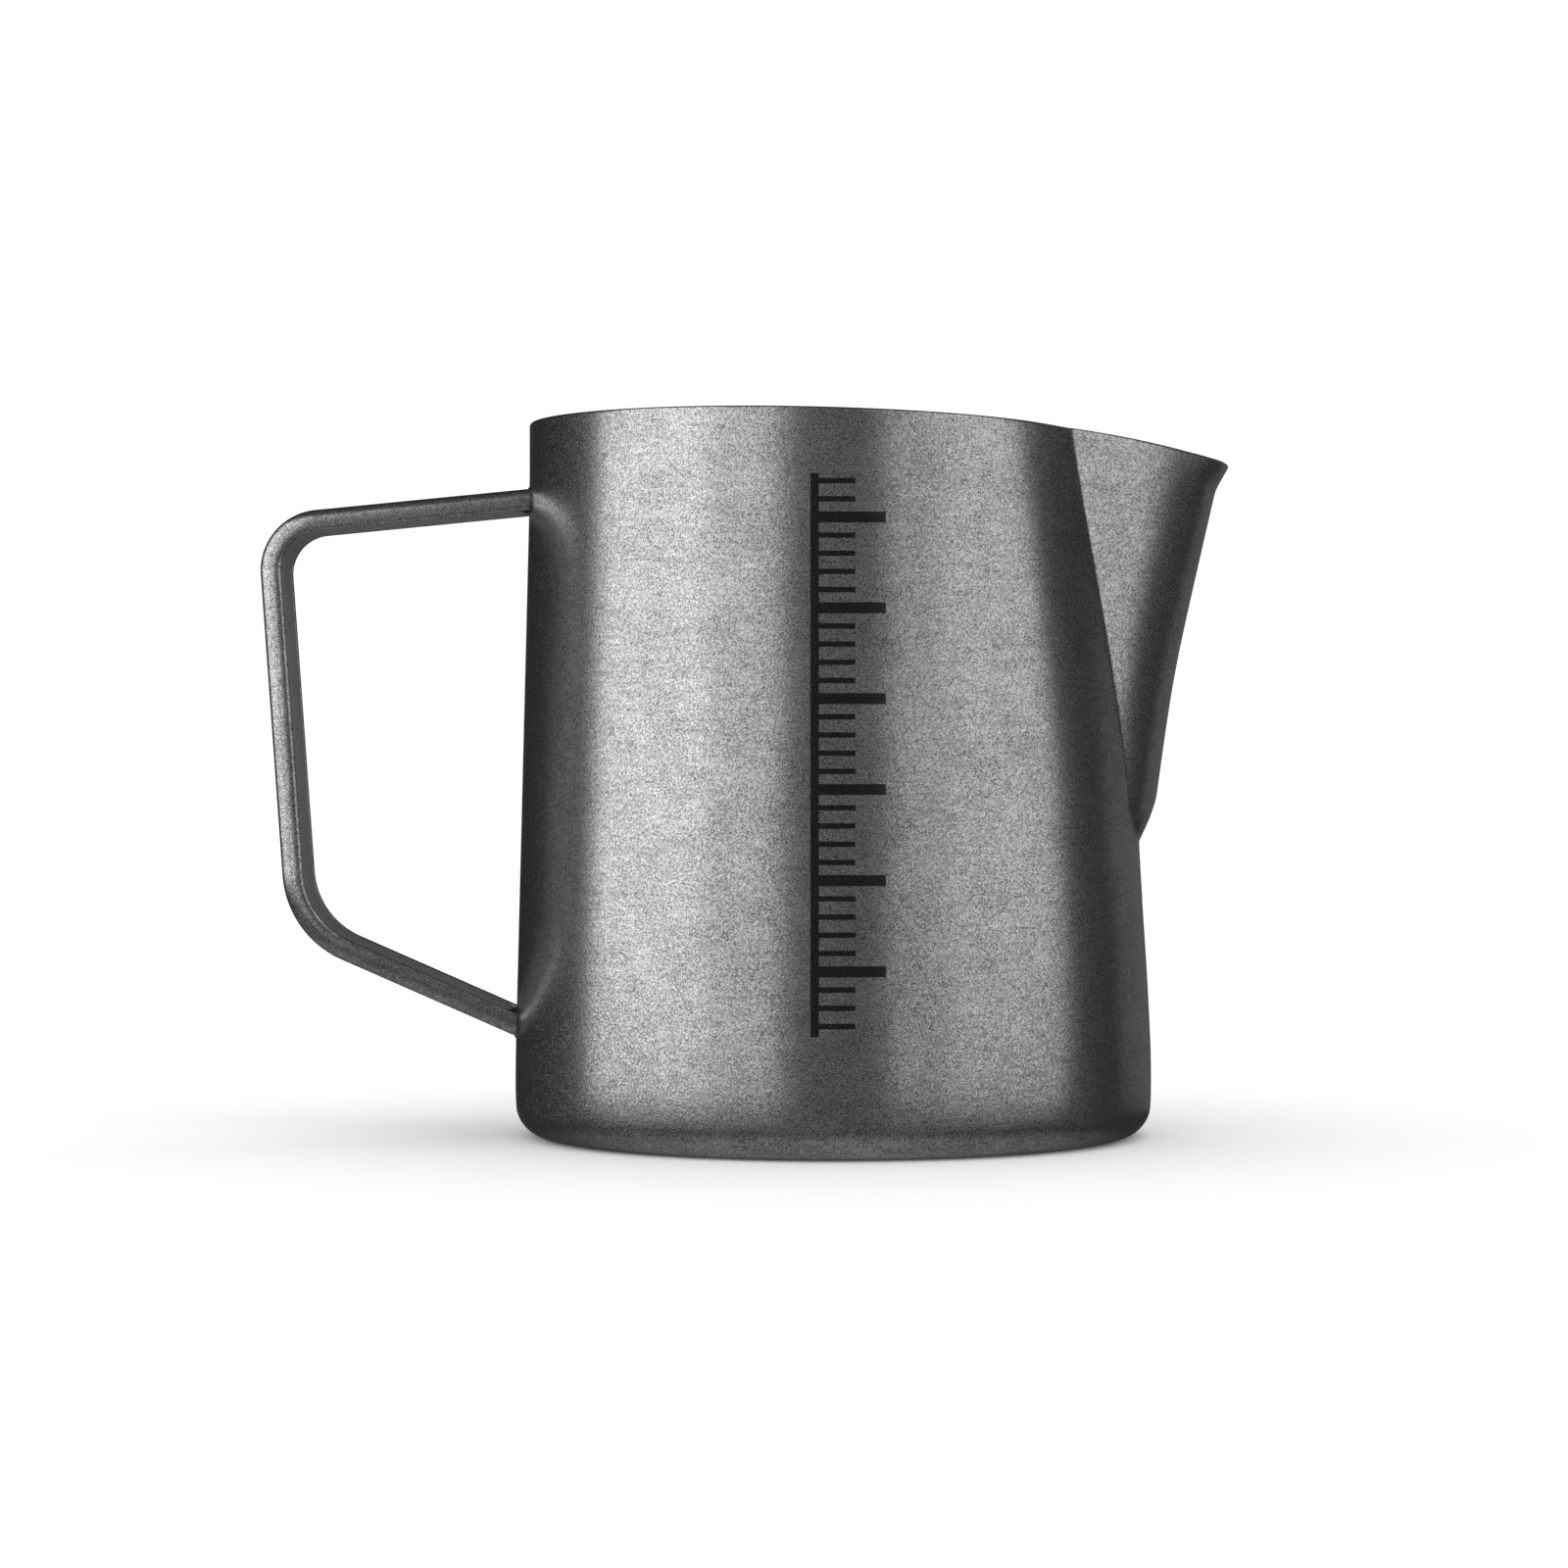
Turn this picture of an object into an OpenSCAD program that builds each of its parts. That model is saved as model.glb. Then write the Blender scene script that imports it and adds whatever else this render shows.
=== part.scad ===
// Stainless steel pouring jug: a drawn shell with a V spout formed in its wall, and a
// handle bent from a pressed channel with a liner strip in its mouth, welded on at both ends.
// +X points at the spout, -X at the handle, +Z up. The origin is on the shell's axis, on the
// plane that it stands on. All sizes are in millimetres.

/* [Shell] */
// Widest diameter, just above the base
base_d = 80.2; // [79.8:0.2:80.6]
// Diameter near the rim
rim_d = 76.6; // [76.2:0.2:77]
// Height at the handle side
shell_h = 89.6; // [89:0.2:90.2]
// Thickness of the steel sheet
wall = 0.9; // [0.8:0.1:1]
// Outer radius of the corner between the wall and the base
corner_r = 3.7; // [3.4:0.1:4.2]
// Diameter of the raised panel pressed into the base
panel_d = 62; // [56:1:64]
// How far the panel is raised
panel_h = 0.5; // [0.4:0.1:0.6]

/* [Rim] */
// How strongly the rim falls away from the handle side to the spout side
rim_fall = 0.0004; // [0.0003:0.0001:0.0005]
// How strongly it falls over the spout as well
spout_fall = 0.0026; // [0.0024:0.0001:0.0028]

/* [Spout] */
// How far the spout's tip stands out from the round wall
spout_reach = 11.7; // [11.4:0.1:12]
// Height at which the spout starts to leave the wall
spout_foot_z = 38.6; // [38:0.2:39.2]
// Height of the spout's tip
spout_tip_z = 84.3; // [84:0.1:84.6]
// Half the angle that the spout takes up of the round wall, at the rim
crease_top = 41; // [40:0.5:42]
// The same where the bottom of the spout starts to close
crease_low = 23; // [22:0.5:24]

/* [Handle] */
// Width of the strip
strip_w = 14.5; // [13.5:0.5:15.5]
// Depth of the channel from its back to its lips
strip_d = 2.7; // [2.6:0.1:2.9]
// Thickness of the channel's sheet
strip_t = 0.8; // [0.7:0.1:0.9]
// Thickness of the liner strip
liner_t = 0.6; // [0.5:0.1:0.7]
// How deep the liner lies below the channel's lips
liner_inset = 0.15; // [0.1:0.05:0.25]
// How far the liner stops short of the shell
liner_gap = 0.7; // [0.7:0.1:1.2]
// Outer radius of the bend at the top of the grip
upper_bend_r = 7.6; // [7.2:0.2:8]
// Outer radius of the bend at the bottom of the grip
lower_bend_r = 12.5; // [12:0.5:13]
// Leg of the fillet weld round each end
weld_leg = 0.6; // [0.5:0.1:0.6]

/* [Hidden] */

SHELL_FN = 180;
CORNER_FN = 96;
BEND_STEPS = 10;
ARC_STEPS = 5;
PAST = 3;

// Shell: the wall is upright for a few millimetres at the bottom and tapers in to the rim.
// Its solids run on above the rim until the rim is cut.
taper_from_z = 9;
taper_to_z = 81;
top_z = shell_h + PAST;
flat_r = base_d / 2 - corner_r;

// Radius of the round wall's outer face at height z.
function wall_r(z) = lookup(z, [[taper_from_z, base_d / 2], [taper_to_z, rim_d / 2]]);

// Rim: height of the edge at distance x along the axis of handle and spout.
rim_high_x = -38;
rim_spout_x = 21;
rim_from_x = -60;
rim_to_x = 72;
rim_step = 4;
function rim_z(x) = shell_h - rim_fall * pow(x - rim_high_x, 2)
    - spout_fall * pow(max(0, x - rim_spout_x), 2);

// Spout: how its front line stands out from the wall, as shares of spout_reach, against
// shares of the height from foot to tip. It bulges out quickly, runs straight and ends in
// a small flare at the lip.
SPOUT_RISE = [
    [-0.03, -0.08], [0, 0], [0.066, 0.1], [0.118, 0.148], [0.28, 0.257], [0.39, 0.33],
    [0.66, 0.58], [0.88, 0.803], [0.937, 0.867], [1, 1], [1.2, 1.42]
];
spout_low_z = spout_foot_z + SPOUT_RISE[0][0] * (spout_tip_z - spout_foot_z);
// Below close_z the creases turn in to meet each other, at end_z.
close_z = spout_foot_z + 4.4;
end_z = spout_foot_z - 1.6;
// The spout's solid ends below the round one's, so that their tops never share a plane.
spout_top_z = top_z - 1;
LOW_STEPS = 6;
HIGH_STEPS = 15;
SPOUT_LEVELS = concat(
    [for (k = [0:LOW_STEPS - 1]) spout_low_z + k * (close_z - spout_low_z) / LOW_STEPS],
    [for (k = [0:HIGH_STEPS]) close_z + k * (spout_top_z - close_z) / HIGH_STEPS]
);
SIDE_STEPS = 11;
// How full the spout's side is, from a wide U at its foot to a V at the rim.
full_low = 0.64;
full_top = 0.45;
// Past the crease the spout's solid dives into the wall: depths under its face, and turns in
// degrees past the crease, of the two points that it does so by.
dive_depth = 0.4;
dive_turn = 2.2;
bury_depth = 4;
bury_turn = 5;

// Where the spout's front line stands at height z.
function spout_x(z) = wall_r(z) + spout_reach
    * lookup((z - spout_foot_z) / (spout_tip_z - spout_foot_z), SPOUT_RISE);

// Half the angle between the two creases at height z.
function crease(z) = z > close_z
    ? crease_low + (crease_top - crease_low) * (z - close_z) / (shell_h - close_z)
    : crease_low * sqrt(1 - pow((close_z - z) / (close_z - end_z), 3));

function fullness(z) = full_low + (full_top - full_low)
    * max(0, z - close_z) / (shell_h - close_z);

// Control points of the side at height z: the crease, the shoulder and the tip.
function side_frame(z) = let(
    c = wall_r(z) * [cos(crease(z)), sin(crease(z))],
    tip = [spout_x(z), 0]
) [c, [tip.x, fullness(z) * c.y], tip];

// Point at share t of that curve, drawn in by inset along its normal.
function side_point(f, t, inset) = let(
    d = (1 - t) * (f[1] - f[0]) + t * (f[2] - f[1]),
    q = pow(1 - t, 2) * f[0] + 2 * t * (1 - t) * f[1] + t * t * f[2]
) q - inset * [-d.y, d.x] / norm(d);

// Point under the wall's face at height z, past the crease.
function buried(z, depth, turn) = (wall_r(z) - depth)
    * [cos(crease(z) + turn), sin(crease(z) + turn)];

// One half of the spout's outline at height z, from its buried edge to the tip.
function half_outline(z, inset) = let(f = side_frame(z)) concat(
    [buried(z, inset + bury_depth, bury_turn), buried(z, inset + dive_depth, dive_turn)],
    [for (k = [1:SIDE_STEPS]) side_point(f, k / SIDE_STEPS, inset)]
);

// The whole outline at height z, anticlockwise seen from above.
function outline(z, inset) = let(
    half = half_outline(z, inset),
    n = len(half)
) concat(
    [for (q = half) [q.x, -q.y, z]],
    [for (k = [n - 2:-1:0]) [half[k].x, half[k].y, z]]
);

// Handle: corners of its outer face in the plane y = 0, from the upper end to the lower one.
// Both ends lie inside the shell and are cut off by its outer face.
upper_end = [-36, 81.4];
upper_corner = [-72.2, 77.85];
lower_corner = [-68.4, 25.3];
lower_end = [-38, 11.96];
// Radii of the section: its back's edges, its lips and the corners of its groove.
back_r = 1.25;
lip_r = 0.6;
groove_r = 0.4;
// Length of strip, from each end, that the weld's solid is made on.
weld_reach = 8;

function heading(a, b) = atan2(b.y - a.y, b.x - a.x);
// Turn at b on the way from a to c, anticlockwise positive.
function turn_at(a, b, c) = (heading(b, c) - heading(a, b) + 540) % 360 - 180;
// Point at distance s from a on the way to b.
function toward(a, b, s) = a + s * (b - a) / norm(b - a);

upper_turn = turn_at(upper_end, upper_corner, lower_corner);
lower_turn = turn_at(upper_corner, lower_corner, lower_end);

// Round solid of the shell's outer form, larger by grow all round.
module round_form(grow) {
    r = base_d / 2 + grow;
    rotate_extrude($fn = SHELL_FN) {
        polygon([
            [0, -grow], [flat_r, -grow], [flat_r, corner_r], [r, corner_r],
            [r, taper_from_z], [rim_d / 2 + grow, taper_to_z], [rim_d / 2 + grow, top_z],
            [0, top_z]
        ]);
        intersection() {
            translate([flat_r, corner_r]) circle(r = corner_r + grow, $fn = CORNER_FN);
            translate([0, -grow]) square([r, corner_r + grow]);
        }
    }
}

// Solid between the wall and the spout's outline drawn in by inset.
module spout_form(inset) {
    rings = [for (z = SPOUT_LEVELS) outline(z, inset)];
    n = len(rings[0]);
    last = len(rings) - 1;
    points = [for (ring = rings) each ring];
    sides = [
        for (i = [0:last - 1])
            for (k = [0:n - 1])
                let(a = i * n + k, b = i * n + (k + 1) % n)
                each [[a, a + n, b], [b, a + n, b + n]]
    ];
    // The two ends are closed by bands across from one side to the other.
    half = (n - 1) / 2;
    foot = [for (k = [0:half - 1]) [k, k + 1, n - 2 - k, n - 1 - k]];
    head = [for (band = foot) [for (k = [3:-1:0]) last * n + band[k]]];
    polyhedron(points = points, faces = concat(foot, head, sides));
}

// The space that the sheet leaves inside the round part.
module round_hollow() {
    inner_r_low = base_d / 2 - wall;
    rotate_extrude($fn = SHELL_FN) {
        polygon([
            [0, wall + panel_h], [panel_d / 2, wall + panel_h], [panel_d / 2 + wall, wall],
            [flat_r, wall], [flat_r, corner_r], [inner_r_low, corner_r],
            [inner_r_low, taper_from_z], [rim_d / 2 - wall, taper_to_z],
            [rim_d / 2 - wall, top_z + PAST], [0, top_z + PAST]
        ]);
        intersection() {
            translate([flat_r, corner_r]) circle(r = corner_r - wall, $fn = CORNER_FN);
            square([inner_r_low, corner_r]);
        }
    }
}

// Everything above the rim's falling line.
module rim_cutter() {
    edge = [for (x = [rim_from_x:rim_step:rim_to_x]) [x, rim_z(x)]];
    over_z = top_z + 2 * PAST;
    rotate([90, 0, 0])
        linear_extrude(height = 2 * base_d, center = true)
            polygon(concat(edge, [[rim_to_x, over_z], [rim_from_x, over_z]]));
}

module body() {
    color("#a3a4a5")
        difference() {
            union() {
                round_form(0);
                spout_form(0);
            }
            round_hollow();
            spout_form(wall);
            translate([0, 0, -PAST]) cylinder(d = panel_d, h = PAST + panel_h, $fn = SHELL_FN);
            rim_cutter();
        }
}

// Outlines across the handle: x runs from the outer face inwards, y across the strip.
function arc(centre, r, from, to) = [
    for (k = [0:ARC_STEPS])
        let(g = from + (to - from) * k / ARC_STEPS)
        centre + r * [cos(g), sin(g)]
];

// Outline of the whole bar, larger by grow all round.
function bar_outline(grow) = let(
    lip = [strip_d - lip_r, strip_w / 2 - lip_r],
    back = [back_r, strip_w / 2 - back_r]
) concat(
    arc(lip, lip_r + grow, 0, 90),
    arc(back, back_r + grow, 90, 180),
    arc([back.x, -back.y], back_r + grow, 180, 270),
    arc([lip.x, -lip.y], lip_r + grow, 270, 360)
);

// Outline of the channel: the bar with its groove.
function channel_outline() = let(
    side = strip_w / 2 - strip_t,
    groove = [strip_t + groove_r, side - groove_r]
) concat(
    [[strip_d, side]],
    bar_outline(0),
    [[strip_d, -side]],
    arc([groove.x, -groove.y], groove_r, 270, 180),
    arc(groove, groove_r, 180, 90)
);

function liner_outline() = let(
    side = strip_w / 2 - strip_t,
    face = strip_d - liner_inset
) [[face, -side], [face, side], [face - liner_t, side], [face - liner_t, -side]];

// Places along a bend at b on the way from a, each a point of the outer face and a heading.
function bend(a, b, r, turn) = let(
    h = heading(a, b),
    start = toward(b, a, r * tan(turn / 2)),
    centre = start + r * [-sin(h), cos(h)]
) [
    for (k = [0:BEND_STEPS])
        let(g = h + turn * k / BEND_STEPS)
        [centre + r * [sin(g), -cos(g)], g]
];

// Solid of an outline carried along the whole handle.
module along_handle(outline) {
    places = concat(
        [[upper_end, heading(upper_end, upper_corner)]],
        bend(upper_end, upper_corner, upper_bend_r, upper_turn),
        bend(upper_corner, lower_corner, lower_bend_r, lower_turn),
        [[lower_end, heading(lower_corner, lower_end)]]
    );
    n = len(outline);
    last = len(places) - 1;
    points = [
        for (place = places, q = outline)
            let(p = place[0] + q.x * [-sin(place[1]), cos(place[1])])
            [p.x, q.y, p.y]
    ];
    sides = [
        for (i = [0:last - 1], k = [0:n - 1])
            let(a = i * n + k, b = i * n + (k + 1) % n)
            [a, a + n, b + n, b]
    ];
    ends = [[for (k = [0:n - 1]) k], [for (k = [n - 1:-1:0]) last * n + k]];
    polyhedron(points = points, faces = concat(ends, sides));
}

module handle_shell() {
    color("#9d9e9f")
        difference() {
            along_handle(channel_outline());
            round_form(0);
        }
}

module handle_liner() {
    color("#88898a")
        difference() {
            along_handle(liner_outline());
            round_form(liner_gap);
        }
}

// A straight bar on the line from a to b, between two distances from a.
module bar(a, b, from, to, grow) {
    start = toward(a, b, from);
    translate([start.x, 0, start.y])
        rotate([90, 0, 0])
            rotate([0, 0, heading(a, b)])
                rotate([90, 0, 0])
                    rotate([0, 90, 0])
                        linear_extrude(height = to - from) polygon(bar_outline(grow));
}

// A ring of weld metal in the corner between the shell and the strip, whose run from a to b
// meets the shell between two distances from a.
module weld_ring(a, b, from, to) {
    difference() {
        intersection() {
            bar(a, b, from, to, weld_leg);
            round_form(weld_leg);
        }
        bar(a, b, from - PAST, to + PAST, 0);
        round_form(0);
    }
}

module upper_weld_bead() {
    color("#7c7d7e") weld_ring(upper_end, upper_corner, 0, weld_reach);
}

module lower_weld_bead() {
    run = norm(lower_end - lower_corner);
    color("#7c7d7e") weld_ring(lower_corner, lower_end, run - weld_reach, run);
}

body();
handle_shell();
handle_liner();
upper_weld_bead();
lower_weld_bead();
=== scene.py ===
import bpy
import numpy as np
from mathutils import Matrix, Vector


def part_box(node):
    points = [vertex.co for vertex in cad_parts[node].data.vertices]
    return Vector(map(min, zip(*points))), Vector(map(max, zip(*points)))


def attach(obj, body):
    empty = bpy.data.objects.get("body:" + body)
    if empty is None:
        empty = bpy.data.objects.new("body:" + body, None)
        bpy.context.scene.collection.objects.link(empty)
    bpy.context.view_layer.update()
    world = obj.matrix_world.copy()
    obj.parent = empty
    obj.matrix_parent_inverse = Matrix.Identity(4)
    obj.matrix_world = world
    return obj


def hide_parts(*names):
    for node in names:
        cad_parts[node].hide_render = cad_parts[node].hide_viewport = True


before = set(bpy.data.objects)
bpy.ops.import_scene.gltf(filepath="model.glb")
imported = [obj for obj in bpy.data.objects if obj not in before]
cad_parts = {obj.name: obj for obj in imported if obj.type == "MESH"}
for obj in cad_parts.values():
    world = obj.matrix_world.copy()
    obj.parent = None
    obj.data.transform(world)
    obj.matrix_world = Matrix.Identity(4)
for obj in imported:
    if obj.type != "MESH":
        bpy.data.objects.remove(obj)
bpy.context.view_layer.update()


# ---- The shell --------------------------------------------------------------------------
# One deep-drawn cup of stainless sheet. Its V spout is pushed out of the wall against a
# former, which pulls in the wall beside and below it and leaves two soft creases. The rim
# is trimmed on a falling line, and tumbling in stones has rounded every edge.
MM = 0.001
SHEET = 0.9
BASE_R = (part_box("body")[1].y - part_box("body")[0].y) / 2 / MM
RIM_R = 38.3
CORNER_R = 3.7
FLAT_R = BASE_R - CORNER_R
PANEL_R = 31.4
PANEL_RISE = 0.5
RIM_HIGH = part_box("body")[1].z / MM
COLUMNS = 146
WALL_ROWS = 140
CREASE_SHARE = 0.24     # share of the columns that lie on the spout
FAR_IN = 9.0            # how far inside the wall the spout is put where there is none


def ramp(x, start, end, soft):
    """Rises from 0 at start to 1 at end in a straight line, with its two bends rounded over
    the length soft: the difference of two softened hinges."""
    def hinge(t):
        return soft * np.logaddexp(0, t / soft)
    return (hinge(x - start) - hinge(x - end)) / (end - start)


def bell(x, width):
    """1 at x = 0, falling off as exp(-(x / width)^2)."""
    return np.exp(-(x / width) ** 2)


def spread(count, density):
    """Numbers from 0 to 1 that lie closer together where density, a function of them, is
    higher: the inverse of its running sum."""
    fine = np.linspace(0, 1, 4001)
    total = np.cumsum(density(fine))
    return np.interp(np.linspace(total[0], total[-1], count), total, fine)


def round_wall(z):
    """Radius of the undisturbed wall at height z: upright near the base, then a straight
    taper to the rim."""
    return BASE_R - (BASE_R - RIM_R) * ramp(z, 9, 81, 1.5)


def rim_line(x):
    """Height of the trimmed rim at distance x towards the spout: a parabola that is highest
    at the handle, and a steeper one added over the spout."""
    return RIM_HIGH - 0.0004 * (x + 38) ** 2 - 0.0026 * np.maximum(0, x - 21) ** 2


def swell(z):
    """A slight swell of the nose: nothing at 56 mm, growing to 0.35 mm at 76 mm."""
    return 0.35 * ramp(z, 56, 76, 3)


def nose_bump(z):
    """How far the spout's nose stands proud of its sides: the swell, and above 81.3 mm the
    lip turned out by 0.34 mm a millimetre."""
    return swell(z) + 0.34 * 0.3 * np.logaddexp(0, (z - 81.3) / 0.3)


def nose_line(z):
    """Distance of the spout's front line from the axis, before the nose's bump is added: a
    rounded start at the foot, and a slope that steepens from 0.14 to 0.23 at 58 mm."""
    start = 1.53 * np.clip((43.1 - z) / 6, 0, 2) ** 1.7
    steeper = 0.09 * 3 * np.logaddexp(0, (z - 58) / 3)
    return 41.0 + 0.14 * (z - 44) + steeper - start - swell(z)


def crease_turn(z):
    """Angle from the spout's middle to its crease, in radians: it opens in a straight line
    upwards, and stays the same below the spout."""
    return np.radians(19.2 + 0.418 * 2 * np.logaddexp(0, (z - 43) / 2))


def pulled_in(turn, z):
    """How far the wall is drawn inwards: most at the crease and under the spout, fading to
    nothing in a bell 20 degrees wide round the wall, and towards the base."""
    above = 0.72 + 1.2 * ramp(z, 46, 80, 4)
    below = 0.95 * np.clip((z - 10) / 27, 0, 1) ** 1.4
    depth = np.where(z > 37, np.maximum(above, 0.95 - 0.035 * (z - 37)), below)
    flat = crease_turn(z) * ramp(z, 25, 43, 3)
    return depth * bell(np.maximum(0, turn - flat), np.radians(20))


def spout_side(turn, z):
    """Radius of the spout's surface: the horizontal curve with one control point between
    crease and nose, met by the ray at that turn. Past the crease it goes on in a straight
    line in radius against turn. Below 43 mm the creases close in to a round foot."""
    end = crease_turn(z) * np.sqrt(np.clip(1 - ((43 - z) / 6.2).clip(0) ** 3, 0.05, 1))
    r = round_wall(z) - pulled_in(end, z)
    crease_x, crease_y = r * np.cos(end), r * np.sin(end)
    nose_x = nose_line(z)
    side_y = (0.62 - 0.14 * ramp(z, 43, 88, 2)) * crease_y
    t = np.minimum(turn, end)
    c = crease_y * np.cos(t) - crease_x * np.sin(t)
    p = side_y * np.cos(t) - nose_x * np.sin(t)
    n = -nose_x * np.sin(t)
    share = c / (c - p + np.sqrt(np.maximum((c - p) ** 2 - c * (c - 2 * p + n), 0)) + 1e-12)
    x = (1 - share) ** 2 * crease_x + (1 - (1 - share) ** 2) * nose_x
    y = (1 - share) ** 2 * crease_y + 2 * share * (1 - share) * side_y
    bump = nose_bump(z) * ramp(-y, -10.5, -5, 0.8)
    along = (nose_x - crease_x) * np.cos(end) + (side_y - crease_y) * np.sin(end)
    across = (side_y - crease_y) * np.cos(end) - (nose_x - crease_x) * np.sin(end)
    slope = np.minimum(r * along / across, -0.2 * r)
    return np.hypot(x, y) + bump + slope * np.maximum(0, turn - end)


def shell_radius(turn, z):
    """Radius of the outer face at a turn from the spout's middle: the larger of wall and
    spout, with the crease between them rounded, and more widely at the spout's foot. What
    the rounding leaves far from the spout is taken off."""
    soft = 0.1 + 0.2 * bell(z - 38, 4)
    wall = round_wall(z) - pulled_in(turn, z)
    proud = np.where(z > 30, spout_side(turn, np.maximum(z, 30)) - wall, -FAR_IN)
    return wall + 0.5 * (proud + np.sqrt(proud ** 2 + soft ** 2)) - 0.25 * soft ** 2 / FAR_IN


def column_turn(share, z):
    """Turn of a column of points at height z, for a share from 0 at the nose to 1 at the
    handle: the columns follow the crease."""
    end = crease_turn(z)
    at = CREASE_SHARE
    return np.where(share < at, end * share / at, end + (np.pi - end) * (share - at) / (1 - at))


# The columns lie closer together on the spout, and closest at its crease.
half = spread(
    COLUMNS + 1,
    lambda s: 1 + 0.8 * (s < CREASE_SHARE) + 3 * bell(s - CREASE_SHARE, 0.03),
)
shares = np.concatenate([half, -half[-2:0:-1]])
side = np.where(shares < 0, -1.0, 1.0)
shares = np.abs(shares)

# The wall's rows run from the base corner to the rim, whose height is found in a few passes.
# They lie closer together at the spout's foot and at the rim.
top = np.full(shares.shape, RIM_HIGH)
for _ in range(6):
    turn = column_turn(shares, top)
    top = rim_line(shell_radius(turn, top) * np.cos(turn)) - SHEET / 2
levels = spread(WALL_ROWS, lambda s: 1 + 1.2 * bell(s - 0.41, 0.06) + 1.5 * bell(s - 0.96, 0.05))
z = CORNER_R + (top - CORNER_R) * levels[1:, None]
turn = column_turn(shares, z)
r = shell_radius(turn, z)
wall_rows = np.stack([r * np.cos(turn), side * r * np.sin(turn), z], axis=-1)


def ring_radius(points):
    """Distance of points from the axis, with the last axis kept."""
    return np.hypot(points[..., :1], points[..., 1:2])


# Under it lie the rolled corner, which is drawn in a little, the foot ring and the panel.
low_turn = column_turn(shares, np.full(shares.shape, CORNER_R))
bend = np.radians(np.linspace(-90, 0, 15))
ring_r = np.concatenate([
    np.linspace(1, PANEL_R - 1.5, 12), np.linspace(PANEL_R - 1.2, PANEL_R + 1.2, 9),
    np.linspace(PANEL_R + 1.8, FLAT_R - 0.4, 6), FLAT_R + CORNER_R * np.cos(bend),
])
rise = 0.5 * (1 - np.sin(np.pi / 2 * np.clip((ring_r - PANEL_R) / 0.9, -1, 1)))
ring_z = np.where(ring_r < FLAT_R, PANEL_RISE * rise, 0)
ring_z[-len(bend):] = CORNER_R * (1 + np.sin(bend))
foot_rows = np.stack([
    ring_r[:, None] * np.cos(low_turn), ring_r[:, None] * side * np.sin(low_turn),
    np.repeat(ring_z[:, None], len(shares), axis=1),
], axis=-1)
outer = np.concatenate([foot_rows, wall_rows])
drawn_in = 0.32 * bell(outer[..., 2:], 3.6) * np.clip(ring_radius(outer) / FLAT_R, 0, 1)
outer[..., :2] *= 1 - drawn_in / np.maximum(ring_radius(outer), 1)


def unit(v):
    """Vectors scaled to length 1."""
    return v / np.linalg.norm(v, axis=-1, keepdims=True)


# The inner face is the outer one moved in by the sheet's thickness, and the edge between
# them is a squared half circle in the plane of the wall's normal and its upward direction.
across = np.roll(outer, -1, axis=1) - np.roll(outer, 1, axis=1)
normal = unit(np.cross(across, np.gradient(outer, axis=0)))
up = unit(outer[-1] - outer[-2])
lip = np.linspace(0, np.pi, 9)[1:-1, None, None]
out_share = np.sign(np.cos(lip)) * np.abs(np.cos(lip)) ** 0.7
edge = outer[-1] + SHEET / 2 * ((out_share - 1) * normal[-1] + np.sin(lip) ** 0.7 * up)
inner = (outer - SHEET * normal)[::-1]
inner = np.concatenate([inner[:1], inner[1:-1:2], inner[-1:]])


def skin(name, rows, ring=False):
    """A mesh over rows of points in millimetres, each row a closed loop of an even number of
    points. A ring joins its last row to its first; otherwise each end is closed by bands
    between the points that lie as far along the row from its first point on either side.
    Faces point out where the loops run anticlockwise about the way from row to row."""
    count, around = rows.shape[:2]
    ids = np.arange(count * around).reshape(count, around)
    step = np.roll(ids, -1, axis=1)
    quads = np.stack([ids, step, np.roll(step, -1, axis=0), np.roll(ids, -1, axis=0)], axis=-1)
    faces = quads[:count if ring else count - 1].reshape(-1, 4).tolist()
    if not ring:
        k = np.arange(around // 2)
        band = np.stack([k, -k % around, -k - 1 + around, k + 1], axis=-1)
        for bands in (band, band[:, ::-1] + (count - 1) * around):
            faces += [list(dict.fromkeys(face)) for face in bands.tolist()]
    mesh = bpy.data.meshes.new(name)
    mesh.from_pydata(rows.reshape(-1, 3) * MM, [], faces)
    mesh.polygons.foreach_set("use_smooth", np.ones(len(mesh.polygons), bool))
    mesh.set_sharp_from_angle(angle=np.radians(40))
    mesh.update()
    piece = bpy.data.objects.new(name, mesh)
    bpy.context.scene.collection.objects.link(piece)
    return piece


def linear(hex_colour):
    """An sRGB hex colour as linear red, green, blue and an alpha of 1."""
    c = np.array([int(hex_colour[i:i + 2], 16) for i in (1, 3, 5)]) / 255
    return (*np.where(c <= 0.04045, c / 12.92, ((c + 0.055) / 1.055) ** 2.4), 1.0)


def node(tree, kind, settings=(), **links):
    """Adds a node of that kind to a tree. Settings are its properties and unlinked inputs by
    name or number, and links join its inputs to other nodes' outputs."""
    new = tree.nodes.new(kind)
    for key, value in dict(settings).items():
        if isinstance(key, int) or key in new.inputs:
            new.inputs[key].default_value = value
        else:
            setattr(new, key, value)
    for key, output in links.items():
        where = int(key[1:]) if key[0] == "i" and key[1:].isdigit() else key.replace("_", " ")
        tree.links.new(new.inputs[where], output)
    return new


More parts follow.
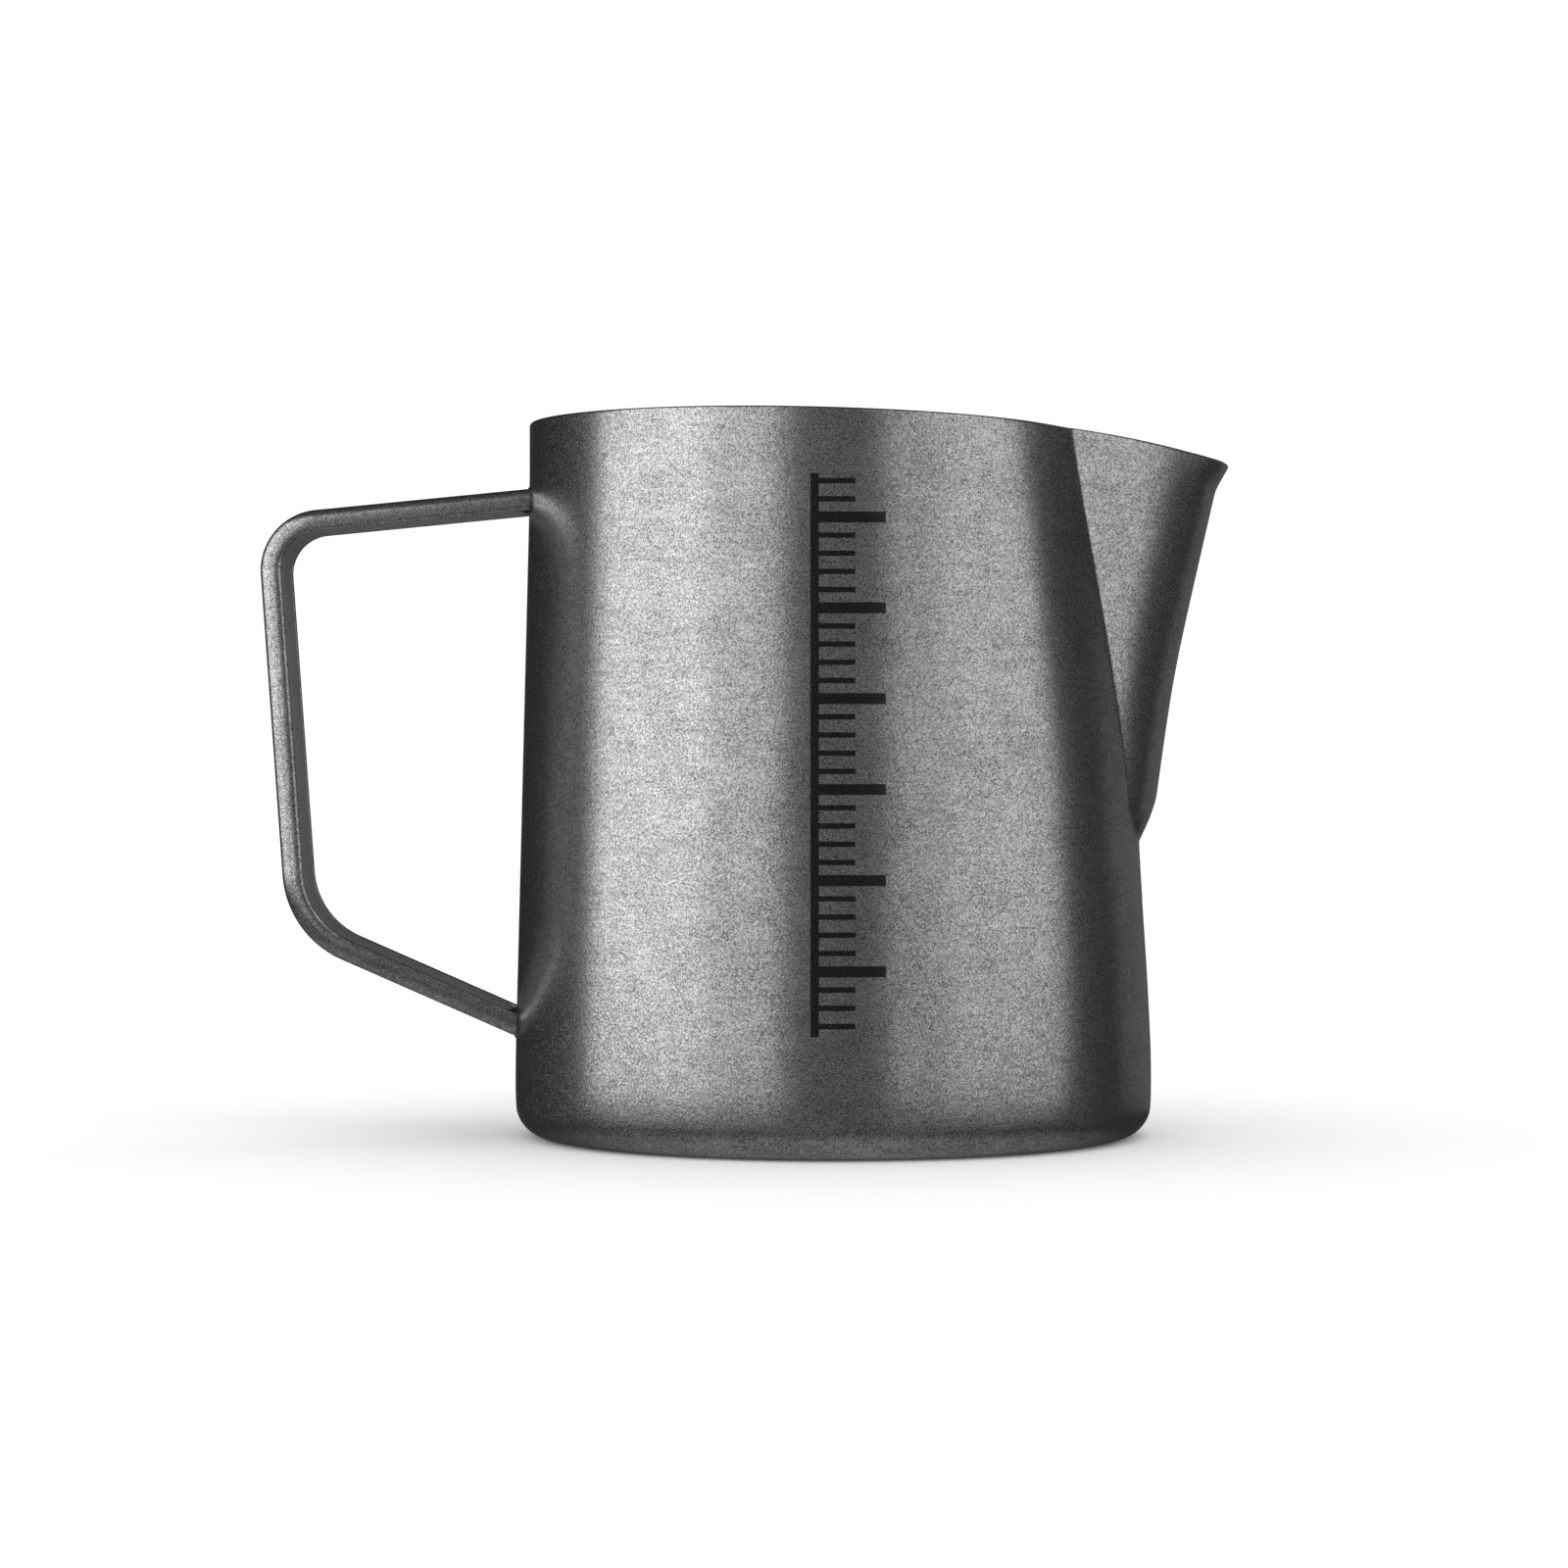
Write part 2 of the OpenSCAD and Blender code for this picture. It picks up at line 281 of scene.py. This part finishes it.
def steel(name, dark, light, roughness, pit_mm, pit_depth):
    """Stonewashed stainless steel. The stones leave fine pits and burnished flats, each with
    its own gloss, so the metal is speckled at the size of its pits, cloudy over a few
    millimetres, and faintly streaked round the cup. Pits under
    0.1 mm would not show, so they are drawn coarser. Returns material, tree, shader, colour."""
    made = bpy.data.materials.new(name)
    made.use_nodes = True
    tree = made.node_tree
    tree.nodes.clear()
    place = node(tree, "ShaderNodeTexCoord").outputs["Object"]
    pits = node(tree, "ShaderNodeTexVoronoi", {"Scale": 1 / (pit_mm * MM)}, Vector=place)
    grain = node(tree, "ShaderNodeTexNoise",
                 {"Scale": 1 / (1.6 * pit_mm * MM), "Detail": 2.0, "Roughness": 0.9},
                 Vector=place).outputs["Fac"]
    cloud = node(tree, "ShaderNodeTexNoise",
                 {"Scale": 1 / (5 * MM), "Detail": 5.0, "Roughness": 0.65},
                 Vector=place).outputs["Fac"]
    round_about = node(tree, "ShaderNodeMapping", {"Scale": (0.12, 0.12, 1.0)}, Vector=place)
    streak = node(tree, "ShaderNodeTexNoise", {"Scale": 1 / (0.5 * MM), "Detail": 2.0},
                  Vector=round_about.outputs[0]).outputs["Fac"]
    total = node(tree, "ShaderNodeMath", {"operation": "MULTIPLY", 1: 0.6},
                 i0=pits.outputs["Color"])
    for share, part in ((0.6, grain), (0.30, cloud), (0.20, streak)):
        total = node(tree, "ShaderNodeMath", {"operation": "MULTIPLY_ADD", 1: share},
                     i0=part, i2=total.outputs[0])
    level = node(tree, "ShaderNodeMapRange", {"From Min": 0.56, "From Max": 1.14},
                 Value=total.outputs[0]).outputs[0]
    colour = node(tree, "ShaderNodeMix",
                  {"data_type": "RGBA", 6: linear(dark), 7: linear(light)},
                  i0=level).outputs[2]
    gloss = node(tree, "ShaderNodeMapRange",
                 {"To Min": roughness + 0.05, "To Max": roughness - 0.05},
                 Value=level).outputs[0]
    relief = node(tree, "ShaderNodeBump", {"Strength": 1.0, "Distance": pit_depth * MM},
                  Height=level).outputs[0]
    shader = node(tree, "ShaderNodeBsdfPrincipled", {"Metallic": 1.0}, Base_Color=colour,
                  Roughness=gloss, Normal=relief)
    node(tree, "ShaderNodeOutputMaterial", Surface=shader.outputs[0])
    return made, tree, shader, colour


shell = skin("shell", np.concatenate([outer, edge, inner]))
shell_steel, tree, shader, colour = steel(
    "stonewashed_stainless_shell", "#6f6f6f", "#f1f1f0", 0.23, 0.15, 0.013)

# A plain scale is etched dark grey into the outside of one side: a line with ticks 2.14 mm
# apart, about every 10 ml, and longer ones 10.7 mm apart. It has no numbers.
SCALE_START = 1.1
SCALE_MIDDLE, SCALE_HALF = 48.0, 33.2
place = node(tree, "ShaderNodeTexCoord")
axes = node(tree, "ShaderNodeSeparateXYZ", i0=place.outputs["Object"])
facing = node(tree, "ShaderNodeSeparateXYZ", i0=place.outputs["Normal"])
height = node(tree, "ShaderNodeMath", {"operation": "SUBTRACT", 1: SCALE_START * MM},
              i0=axes.outputs["Z"])
marks = []
for middle, half_long, apart, half_thick in (
        (1.4, 4.4, 10.7, 0.65), (-0.4, 2.6, 2.14, 0.32), (-2.6, 0.5, 2.14, 2.0)):
    off_tick = node(tree, "ShaderNodeMath", {"operation": "PINGPONG", 1: apart / 2 * MM},
                    i0=height.outputs[0])
    near = node(tree, "ShaderNodeMath", {"operation": "LESS_THAN", 1: half_thick * MM},
                i0=off_tick.outputs[0])
    within = node(tree, "ShaderNodeMath",
                  {"operation": "COMPARE", 1: middle * MM, 2: half_long * MM},
                  i0=axes.outputs["X"])
    marks.append(node(tree, "ShaderNodeMath", {"operation": "MULTIPLY"},
                      i0=near.outputs[0], i1=within.outputs[0]))
etched = marks[0]
for mark in marks[1:]:
    etched = node(tree, "ShaderNodeMath", {"operation": "MAXIMUM"},
                  i0=etched.outputs[0], i1=mark.outputs[0])

# Both the place and the facing have to be on that side, so the inside stays plain.
side_on = node(tree, "ShaderNodeMath", {"operation": "MAXIMUM"},
               i0=axes.outputs["Y"], i1=facing.outputs["Y"])
on_side = node(tree, "ShaderNodeMath", {"operation": "LESS_THAN", 1: 0.0},
               i0=side_on.outputs[0])
strength = node(tree, "ShaderNodeMath", {"operation": "MULTIPLY", 1: 0.94},
                i0=on_side.outputs[0])
tall = node(tree, "ShaderNodeMath",
            {"operation": "COMPARE", 1: SCALE_MIDDLE * MM, 2: SCALE_HALF * MM},
            i0=axes.outputs["Z"])
for limit in (tall, strength):
    etched = node(tree, "ShaderNodeMath", {"operation": "MULTIPLY"},
                  i0=etched.outputs[0], i1=limit.outputs[0])
marked = node(tree, "ShaderNodeMix", {"data_type": "RGBA", 7: linear("#3e3e3e")},
              i0=etched.outputs[0], i6=colour)
tree.links.new(shader.inputs["Base Color"], marked.outputs[2])
shell.data.materials.append(shell_steel)
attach(shell, "root")
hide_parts("body")


# ---- The handle's shell ------------------------------------------------------------------
# A channel pressed from a strip of the same steel, its back and lips rounded, bent at two
# corners with its mouth inwards and butted against the cup.
WIDTH = 14.5
DEPTH = 2.7
STRIP = 0.8


def bent(corners, radii, steps):
    """Places along straight runs in the plane of x and z whose corners are rounded: rows of
    x, z and heading, close together on the bends."""
    corners = np.array(corners)
    heads = np.arctan2(*np.diff(corners, axis=0).T[::-1])
    places = [np.array([[*corners[0], heads[0]]])]
    for corner, r, a, b in zip(corners[1:-1], radii, heads[:-1], heads[1:]):
        turn = (b - a) % (2 * np.pi)
        g = a + turn * np.linspace(0, 1, steps)
        back = r * np.tan(turn / 2)
        ahead, left = np.array([np.cos(a), np.sin(a)]), np.array([-np.sin(a), np.cos(a)])
        x, z = corner - back * ahead + r * left
        places.append(np.stack([x + r * np.sin(g), z - r * np.cos(g), g], axis=-1))
    places.append(np.array([[*corners[-1], heads[-1]]]))
    return np.concatenate(places)


def carried(outline, places):
    """An outline, given as depth and y, set up at every place of a path. Depth runs to the
    left of the heading."""
    x, z, g = places.T[:, :, None]
    depth, y = outline.T
    return np.stack([x - depth * np.sin(g), y + 0 * x, z + depth * np.cos(g)], axis=-1)


def on_wall(points, heading, gap):
    """Points moved along a heading to where they are a gap outside the round wall."""
    x, y, z = points[..., 0].copy(), points[..., 1], points[..., 2].copy()
    for _ in range(8):
        at = -np.sqrt((round_wall(z) + gap) ** 2 - y ** 2)
        z = z + (at - x) * np.tan(heading)
        x = at
    return np.stack([x, y, z], axis=-1)


def corner_arc(depth, y, across, out, start, end, steps):
    """Part of an ellipse round a centre: across is its half size in depth, out in y, and the
    angles run from the back, at 0, to the side, at 90 degrees."""
    t = np.radians(np.linspace(start, end, steps))
    return np.stack([depth - across * np.cos(t), y + out * np.sin(t)], axis=-1)


# The half outline runs from the middle of the back round the flank and the lip.
half_w = WIDTH / 2
outside = np.concatenate([
    [[0.0, 0.0]],
    corner_arc(1.9, half_w - 1.3, 1.9, 1.3, 0, 90, 16),
    corner_arc(DEPTH - 0.55, half_w - 0.4, 0.55, 0.4, 90, 180, 8)[:-1],
])
inside = np.concatenate([
    [[STRIP, 0.0]],
    corner_arc(STRIP + 0.7, half_w - STRIP - 0.7, 0.7, 0.7, 0, 90, 16),
    corner_arc(DEPTH - 0.5, half_w - 0.4, 0.5, -0.4, 90, 180, 8)[:-1],
])
tip = np.array([[DEPTH, half_w - 0.4]])
flip = np.array([1.0, -1.0])
channel = np.concatenate([
    tip, outside[::-1], outside[1:] * flip, tip * flip, inside[:0:-1] * flip, inside,
])
# The ends run on past the cup's wall, and are cut off 0.35 mm inside its outer face.
SUNK = -0.35
path = bent([(-34, 81.6), (-72.2, 77.85), (-68.4, 25.3), (-34, 10.2)], (7.6, 12.5), 26)
upper_head, lower_head = path[0, 2], path[-1, 2]
rows = carried(channel, path)
rows[0] = on_wall(rows[0], upper_head, SUNK)
rows[-1] = on_wall(rows[-1], lower_head, SUNK)
handle = skin("handle_channel", rows[::-1])

# It was tumbled with the cup, so it has the same bright speckle.
handle_steel = steel("stonewashed_stainless_handle", "#6f6f6f", "#f1f1f0", 0.23, 0.15, 0.013)[0]
handle.data.materials.append(handle_steel)
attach(handle, "root")
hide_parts("handle_shell")


# ---- The handle's liner ------------------------------------------------------------------
# A flat strip of plain brushed steel laid in the channel's mouth, a little below its lips.
# Its ends are rounded and stop short of the cup, and it isn't tumbled, so it is smooth.
LINER = 0.6
BELOW_LIPS = 0.15
SIDE_GAP = 0.12
END_GAP = 0.7
END_CORNER = 2.0
liner_half = half_w - STRIP - SIDE_GAP
low, high = DEPTH - BELOW_LIPS - LINER, DEPTH - BELOW_LIPS
liner_side = np.concatenate([
    [[high, 0.0]], [[high, liner_half * 0.5]],
    corner_arc(high - 0.2, liner_half - 0.2, 0.2, 0.2, 180, 90, 5),
    corner_arc(low + 0.2, liner_half - 0.2, 0.2, 0.2, 90, 0, 5),
    [[low, liner_half * 0.5]], [[low, 0.0]],
])
strip_outline = np.concatenate([liner_side, liner_side[-2:0:-1] * flip])[::-1]
rows = carried(strip_outline, path)
beyond = np.maximum(0, np.abs(strip_outline[:, 1]) - (liner_half - END_CORNER))
setback = END_GAP + END_CORNER - np.sqrt(np.maximum(END_CORNER ** 2 - beyond ** 2, 0))
rows[0] = on_wall(rows[0], upper_head, setback)
rows[-1] = on_wall(rows[-1], lower_head, setback)
liner = skin("handle_liner_strip", rows)

# Rolled and brushed but not tumbled, it has no bright flats: an even, dull grey.
liner_steel = steel("plain_brushed_stainless_liner", "#b8b8b8", "#d4d4d4", 0.62, 0.3, 0.0005)[0]
liner.data.materials.append(liner_steel)
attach(liner, "root")
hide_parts("handle_liner")


# ---- The welds ---------------------------------------------------------------------------
# Where the strip meets the cup each end is welded all round and ground to a small hollow
# fillet, left a little uneven and darker than the tumbled steel.
outline = np.concatenate([
    outside[::-1], outside[1:] * flip, tip * flip, [[DEPTH, -2.0], [DEPTH, 2.0]], tip,
])
along = np.roll(outline, -1, axis=0) - np.roll(outline, 1, axis=0)
outward = unit(np.stack([-along[:, 1], along[:, 0]], axis=-1))
t = np.radians(np.linspace(0, 90, 7))[:, None]
wave = np.arange(len(outline)) * 2 * np.pi / len(outline)
leg = 0.30 + 0.04 * np.sin(3 * wave) + 0.02 * np.sin(8 * wave + 1)

# The hollow is a quarter circle of that leg. Its back is sunk into both strip and cup.
in_strip = np.full((1, len(leg)), -0.2)
in_cup = np.full((1, len(leg)), -0.3)
grow = np.concatenate([in_strip, leg * (1 - np.cos(t)), leg[None], in_strip])
away = np.concatenate([leg[None], leg * (1 - np.sin(t)), in_cup, in_cup])

# Heat has darkened it and the wheel has left it duller than the steel on either side.
weld_steel = steel("ground_weld_steel", "#3c3a39", "#8a8886", 0.42, 0.25, 0.010)[0]
for name, place in (("upper", path[:1]), ("lower", path[-1:])):
    rows = np.concatenate([
        on_wall(carried(outline + g[:, None] * outward, place), place[0, 2], a)
        for g, a in zip(grow, away)
    ])
    weld = skin(name + "_weld", rows if name == "lower" else rows[::-1], ring=True)
    weld.data.materials.append(weld_steel)
    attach(weld, "root")
    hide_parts(name + "_weld_bead")


# ---- The room ----------------------------------------------------------------------------
# A flat white paper floor and five tall soft boxes in a dark studio. The jug sees only the boxes
# and the dark, and the paper only a white sky.
FLOOR_HALF = 30
FLOOR_DROP = 0.02       # below the foot, so that the two faces don't share a plane
floor_corners = [
    (x * FLOOR_HALF, y * FLOOR_HALF, -FLOOR_DROP * MM)
    for x, y in ((-1, -1), (1, -1), (1, 1), (-1, 1))
]
floor_mesh = bpy.data.meshes.new("floor")
floor_mesh.from_pydata(floor_corners, [], [(0, 1, 2, 3)])
floor = bpy.data.objects.new("floor", floor_mesh)
bpy.context.scene.collection.objects.link(floor)

# Matt white background paper, with no sheen.
paper = bpy.data.materials.new("white_paper")
paper.use_nodes = True
matt = paper.node_tree.nodes["Principled BSDF"].inputs
matt["Base Color"].default_value = (1, 1, 1, 1)
matt["Roughness"].default_value = 1
matt["Specular IOR Level"].default_value = 0
floor.data.materials.append(paper)
floor.visible_glossy = False
floor.visible_shadow = False

# What shines in the steel is a dark room, a little lighter in front and below. All other
# light from the world is white.
world = bpy.data.worlds.new("studio")
bpy.context.scene.world = world
world.use_nodes = True
tree = world.node_tree
tree.nodes.clear()
way = node(tree, "ShaderNodeSeparateXYZ", i0=node(tree, "ShaderNodeTexCoord").outputs["Generated"])
front = node(tree, "ShaderNodeMapRange",
             {"From Min": 0.4, "From Max": -0.9, "To Min": 0.010, "To Max": 0.045},
             Value=way.outputs["Y"])
below = node(tree, "ShaderNodeMapRange",
             {"From Min": -0.4, "From Max": -0.8, "To Min": 0.0, "To Max": 0.16},
             Value=way.outputs["Z"])
room = node(tree, "ShaderNodeMath", {"operation": "ADD"},
            i0=front.outputs[0], i1=below.outputs[0])
dark = node(tree, "ShaderNodeBackground", {"Color": (1, 1, 1, 1)}, Strength=room.outputs[0])
white = node(tree, "ShaderNodeBackground", {"Color": (1, 1, 1, 1), "Strength": 1.1})
path_kind = node(tree, "ShaderNodeLightPath")
seen = node(tree, "ShaderNodeMixShader", i0=path_kind.outputs["Is Glossy Ray"],
            i1=white.outputs[0], i2=dark.outputs[0])
node(tree, "ShaderNodeOutputWorld", Surface=seen.outputs[0])

# The soft boxes light everything but the floor.
not_the_floor = bpy.data.collections.new("not_the_floor")
not_the_floor.objects.link(floor)
not_the_floor.collection_objects[0].light_linking.link_state = "EXCLUDE"


BOX_AWAY = 0.5
BOX_TOP = 0.65


def soft_box(name, azimuth, width, low, radiance):
    """An upright soft box at an azimuth from the camera's side, in degrees to the right, that
    faces the jug. Its power gives the radiance at every point of its face."""
    data = bpy.data.lights.new(name, "AREA")
    data.shape = "RECTANGLE"
    data.size, data.size_y = width, BOX_TOP - low
    data.energy = radiance * np.pi * width * (BOX_TOP - low)
    box = bpy.data.objects.new(name, data)
    a = np.radians(azimuth)
    box.location = (BOX_AWAY * np.sin(a), -BOX_AWAY * np.cos(a), (low + BOX_TOP) / 2)
    box.rotation_euler = (np.pi / 2, 0, a)
    box.visible_camera = False
    box.light_linking.receiver_collection = not_the_floor
    bpy.context.scene.collection.objects.link(box)


# On each side a bright box stands wide of the camera, with a dimmer one inside it.
soft_box("left_box", -69, 0.47, -0.03, 1.22)
soft_box("left_fill", -31, 0.21, -0.03, 0.78)
soft_box("right_box", 64, 0.43, -0.03, 0.70)
soft_box("right_fill", 30, 0.19, -0.03, 0.45)
soft_box("rear_fill", 142, 0.36, -0.05, 0.09)

camera_data = bpy.data.cameras.new("camera")
camera_data.sensor_width = 36
camera_data.lens = 101.5
camera_data.shift_y = -0.0241
camera = bpy.data.objects.new("camera", camera_data)
camera.location = (-0.0062, -0.559, 0.049)
camera.rotation_euler = (np.pi / 2, 0, 0)
bpy.context.scene.collection.objects.link(camera)
bpy.context.scene.camera = camera
bpy.context.scene.view_settings.view_transform = "Standard"
